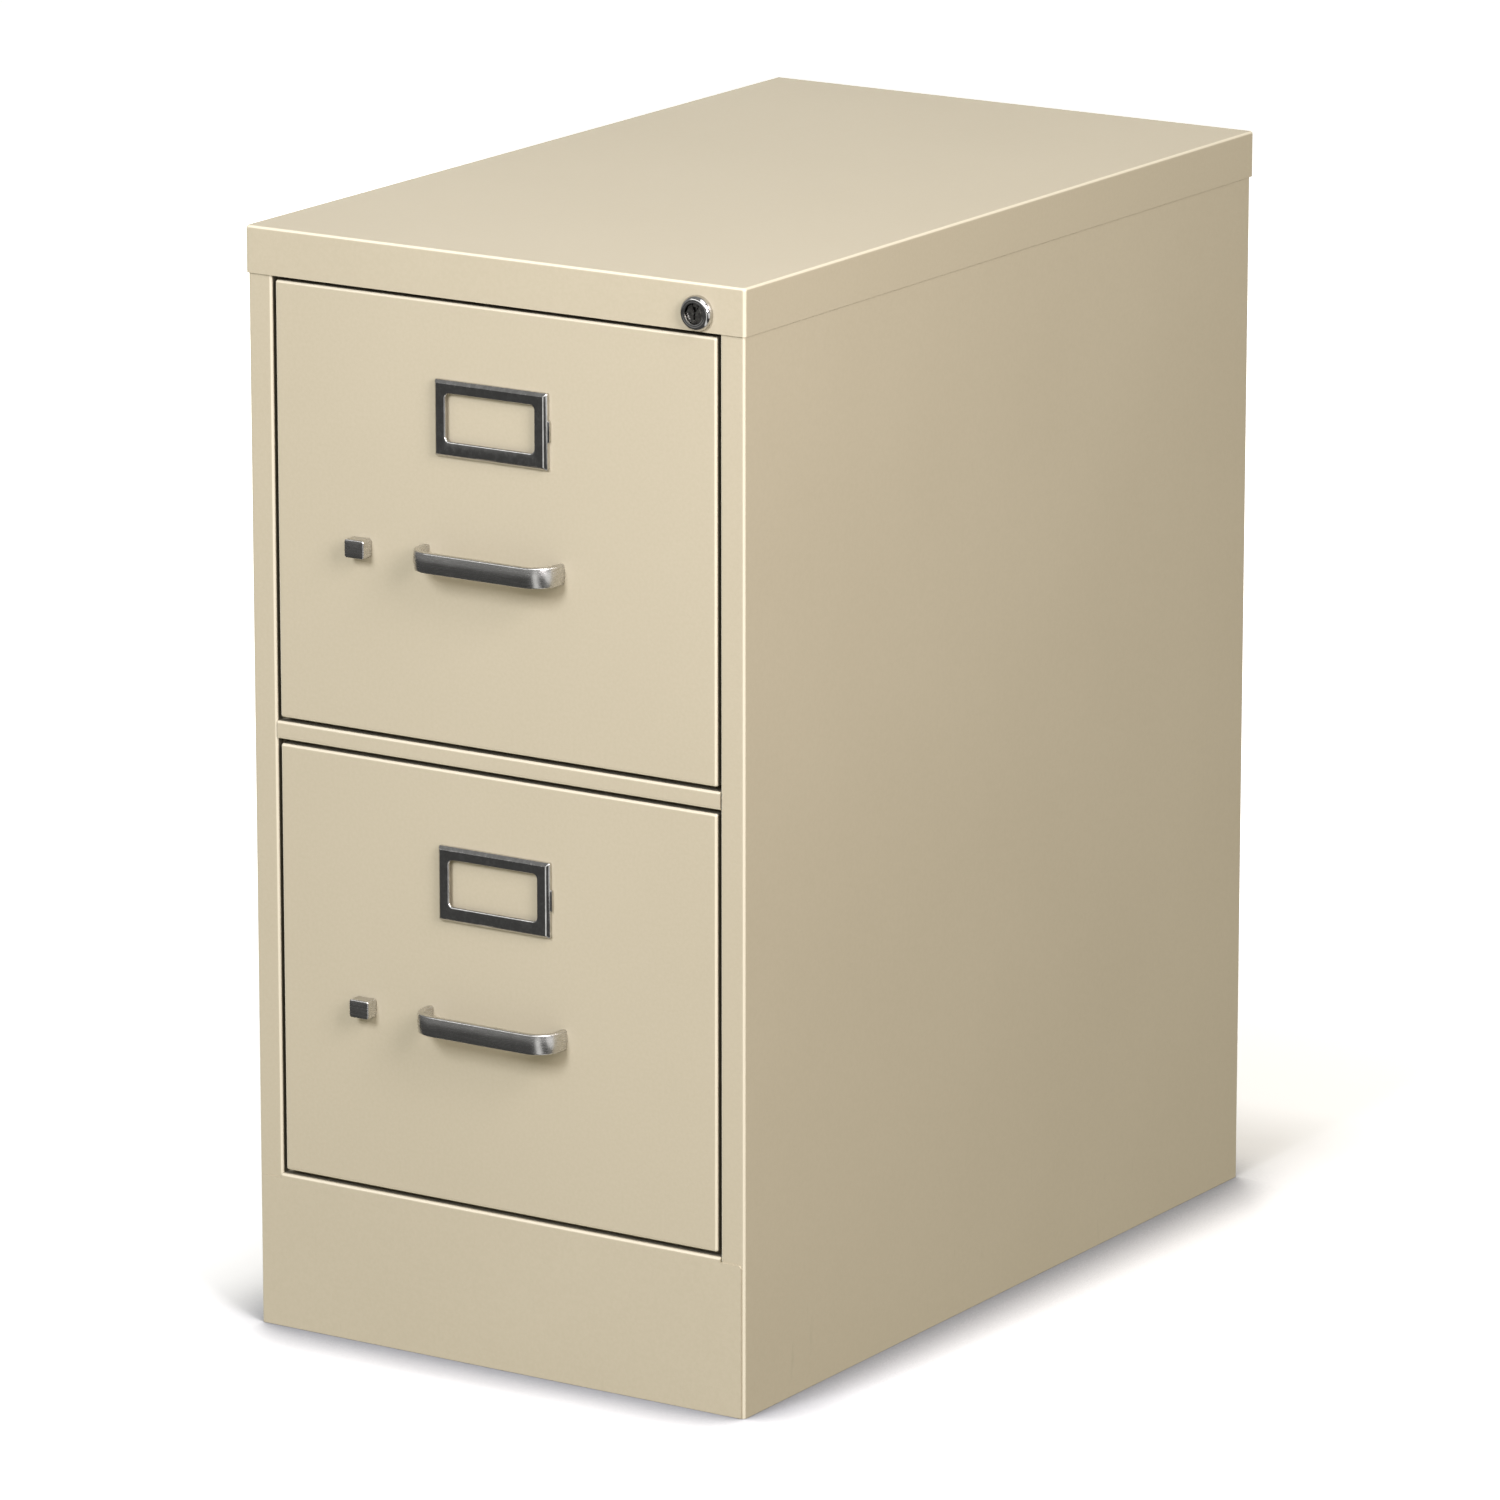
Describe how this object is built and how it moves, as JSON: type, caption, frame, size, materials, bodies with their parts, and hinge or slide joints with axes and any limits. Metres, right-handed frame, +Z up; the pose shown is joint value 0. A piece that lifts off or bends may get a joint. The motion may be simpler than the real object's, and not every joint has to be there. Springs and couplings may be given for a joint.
{
  "type": "two-drawer filing cabinet",
  "caption": "Free-standing upright filing cabinet in beige sheet steel with flush full-extension drawers, D-shaped pulls, thumb latches, card holders and a gang lock.",
  "frame": {"origin": "on the floor, midway between the cap's sides, and midway between the pulls' fronts and the cap's back (the centre of the bounding box's bottom)", "axes": "+Z up, +Y to the back, +X to the right as seen from the front; the drawers open along -Y"},
  "size_m": [0.381, 0.6578, 0.7366],
  "materials": {
    "case_paint": "light beige baked enamel, satin",
    "zinc_steel": "zinc plated, satin",
    "bearing_steel": "bright, lightly oiled",
    "spring_steel": "drawn wire",
    "chrome": "polished plate",
    "satin_metal": "satin plated",
    "lock_metal": "nickel plated, dulled",
    "rubber": "matt",
    "nylon": "natural nylon"
  },
  "bodies": {
    "cabinet": {"left_side_panel": "case_paint", "right_side_panel": "case_paint", "back_panel": "case_paint", "top_cap": "case_paint", "mid_rail": "case_paint", "base_panel": "case_paint", "bottom_rear_rail": "case_paint", "left_front_upright": "case_paint", "right_front_upright": "case_paint", "rear_uprights": "case_paint", "latch_strikes": "case_paint", "slide_bumpers": "rubber", "lock_housing": "chrome", "lock_nut": "lock_metal", "lock_bar_guides": "nylon", "upper_left_case_slide": "zinc_steel", "upper_right_case_slide": "zinc_steel", "lower_left_case_slide": "zinc_steel", "lower_right_case_slide": "zinc_steel"},
    "lock_plug": {"lock_plug": "lock_metal", "lock_cam": "lock_metal"},
    "lock_bar": {"lock_bar": "zinc_steel", "upper_lock_hook": "zinc_steel", "lower_lock_hook": "zinc_steel"},
    "upper_drawer": {"upper_drawer_front": "case_paint", "upper_drawer_liner": "case_paint", "upper_drawer_body": "case_paint", "upper_drawer_back": "case_paint", "upper_pull": "satin_metal", "upper_pull_screws": "zinc_steel", "upper_label_holder": "chrome", "upper_latch_bracket": "zinc_steel", "upper_latch_spring": "spring_steel", "upper_lock_lug": "zinc_steel", "upper_left_drawer_slide": "zinc_steel", "upper_right_drawer_slide": "zinc_steel"},
    "upper_middle_slides": {"upper_left_middle_slide": "zinc_steel", "upper_right_middle_slide": "zinc_steel"},
    "upper_outer_cages": {"upper_outer_ball_cages": "bearing_steel"},
    "upper_inner_cages": {"upper_inner_ball_cages": "bearing_steel"},
    "upper_latch": {"upper_latch_button": "satin_metal", "upper_latch_bar": "zinc_steel"},
    "lower_drawer": {"lower_drawer_front": "case_paint", "lower_drawer_liner": "case_paint", "lower_drawer_body": "case_paint", "lower_drawer_back": "case_paint", "lower_pull": "satin_metal", "lower_pull_screws": "zinc_steel", "lower_label_holder": "chrome", "lower_latch_bracket": "zinc_steel", "lower_latch_spring": "spring_steel", "lower_lock_lug": "zinc_steel", "lower_left_drawer_slide": "zinc_steel", "lower_right_drawer_slide": "zinc_steel"},
    "lower_middle_slides": {"lower_left_middle_slide": "zinc_steel", "lower_right_middle_slide": "zinc_steel"},
    "lower_outer_cages": {"lower_outer_ball_cages": "bearing_steel"},
    "lower_inner_cages": {"lower_inner_ball_cages": "bearing_steel"},
    "lower_latch": {"lower_latch_button": "satin_metal", "lower_latch_bar": "zinc_steel"}
  },
  "joints": [
    {"name": "upper_drawer_slide", "type": "slide", "parent": "cabinet", "child": "upper_drawer", "axis": [0, -1, 0], "range_m": [0, 0.56]},
    {"name": "upper_middle_slide_roll", "type": "slide", "parent": "cabinet", "child": "upper_middle_slides", "axis": [0, -1, 0], "range_m": [0, 0.28]},
    {"name": "upper_outer_cage_roll", "type": "slide", "parent": "cabinet", "child": "upper_outer_cages", "axis": [0, -1, 0], "range_m": [0, 0.14]},
    {"name": "upper_inner_cage_roll", "type": "slide", "parent": "cabinet", "child": "upper_inner_cages", "axis": [0, -1, 0], "range_m": [0, 0.42]},
    {"name": "upper_latch_slide", "type": "slide", "parent": "upper_drawer", "child": "upper_latch", "axis": [1, 0, 0], "range_m": [0, 0.008], "stiffness_N_per_m": 200, "springref_m": -0.01, "deforming": ["upper_latch_spring"]},
    {"name": "lower_drawer_slide", "type": "slide", "parent": "cabinet", "child": "lower_drawer", "axis": [0, -1, 0], "range_m": [0, 0.56]},
    {"name": "lower_middle_slide_roll", "type": "slide", "parent": "cabinet", "child": "lower_middle_slides", "axis": [0, -1, 0], "range_m": [0, 0.28]},
    {"name": "lower_outer_cage_roll", "type": "slide", "parent": "cabinet", "child": "lower_outer_cages", "axis": [0, -1, 0], "range_m": [0, 0.14]},
    {"name": "lower_inner_cage_roll", "type": "slide", "parent": "cabinet", "child": "lower_inner_cages", "axis": [0, -1, 0], "range_m": [0, 0.42]},
    {"name": "lower_latch_slide", "type": "slide", "parent": "lower_drawer", "child": "lower_latch", "axis": [1, 0, 0], "range_m": [0, 0.008], "stiffness_N_per_m": 200, "springref_m": -0.01, "deforming": ["lower_latch_spring"]},
    {"name": "lock_turn", "type": "hinge", "parent": "cabinet", "child": "lock_plug", "pos_m": [0.1555, -0.3061, 0.7175], "axis": [0, -1, 0], "range_deg": [0, 90]},
    {"name": "lock_bar_lift", "type": "slide", "parent": "cabinet", "child": "lock_bar", "axis": [0, 0, 1], "range_m": [0, 0.0129]}
  ],
  "couplings": [
    {"joint": "upper_middle_slide_roll", "follows": "upper_drawer_slide", "ratio": 0.5},
    {"joint": "upper_outer_cage_roll", "follows": "upper_drawer_slide", "ratio": 0.25},
    {"joint": "upper_inner_cage_roll", "follows": "upper_drawer_slide", "ratio": 0.75},
    {"joint": "lower_middle_slide_roll", "follows": "lower_drawer_slide", "ratio": 0.5},
    {"joint": "lower_outer_cage_roll", "follows": "lower_drawer_slide", "ratio": 0.25},
    {"joint": "lower_inner_cage_roll", "follows": "lower_drawer_slide", "ratio": 0.75},
    {"joint": "lock_bar_lift", "follows": "lock_turn", "m_per_rad": 0.0081028}
  ]
}
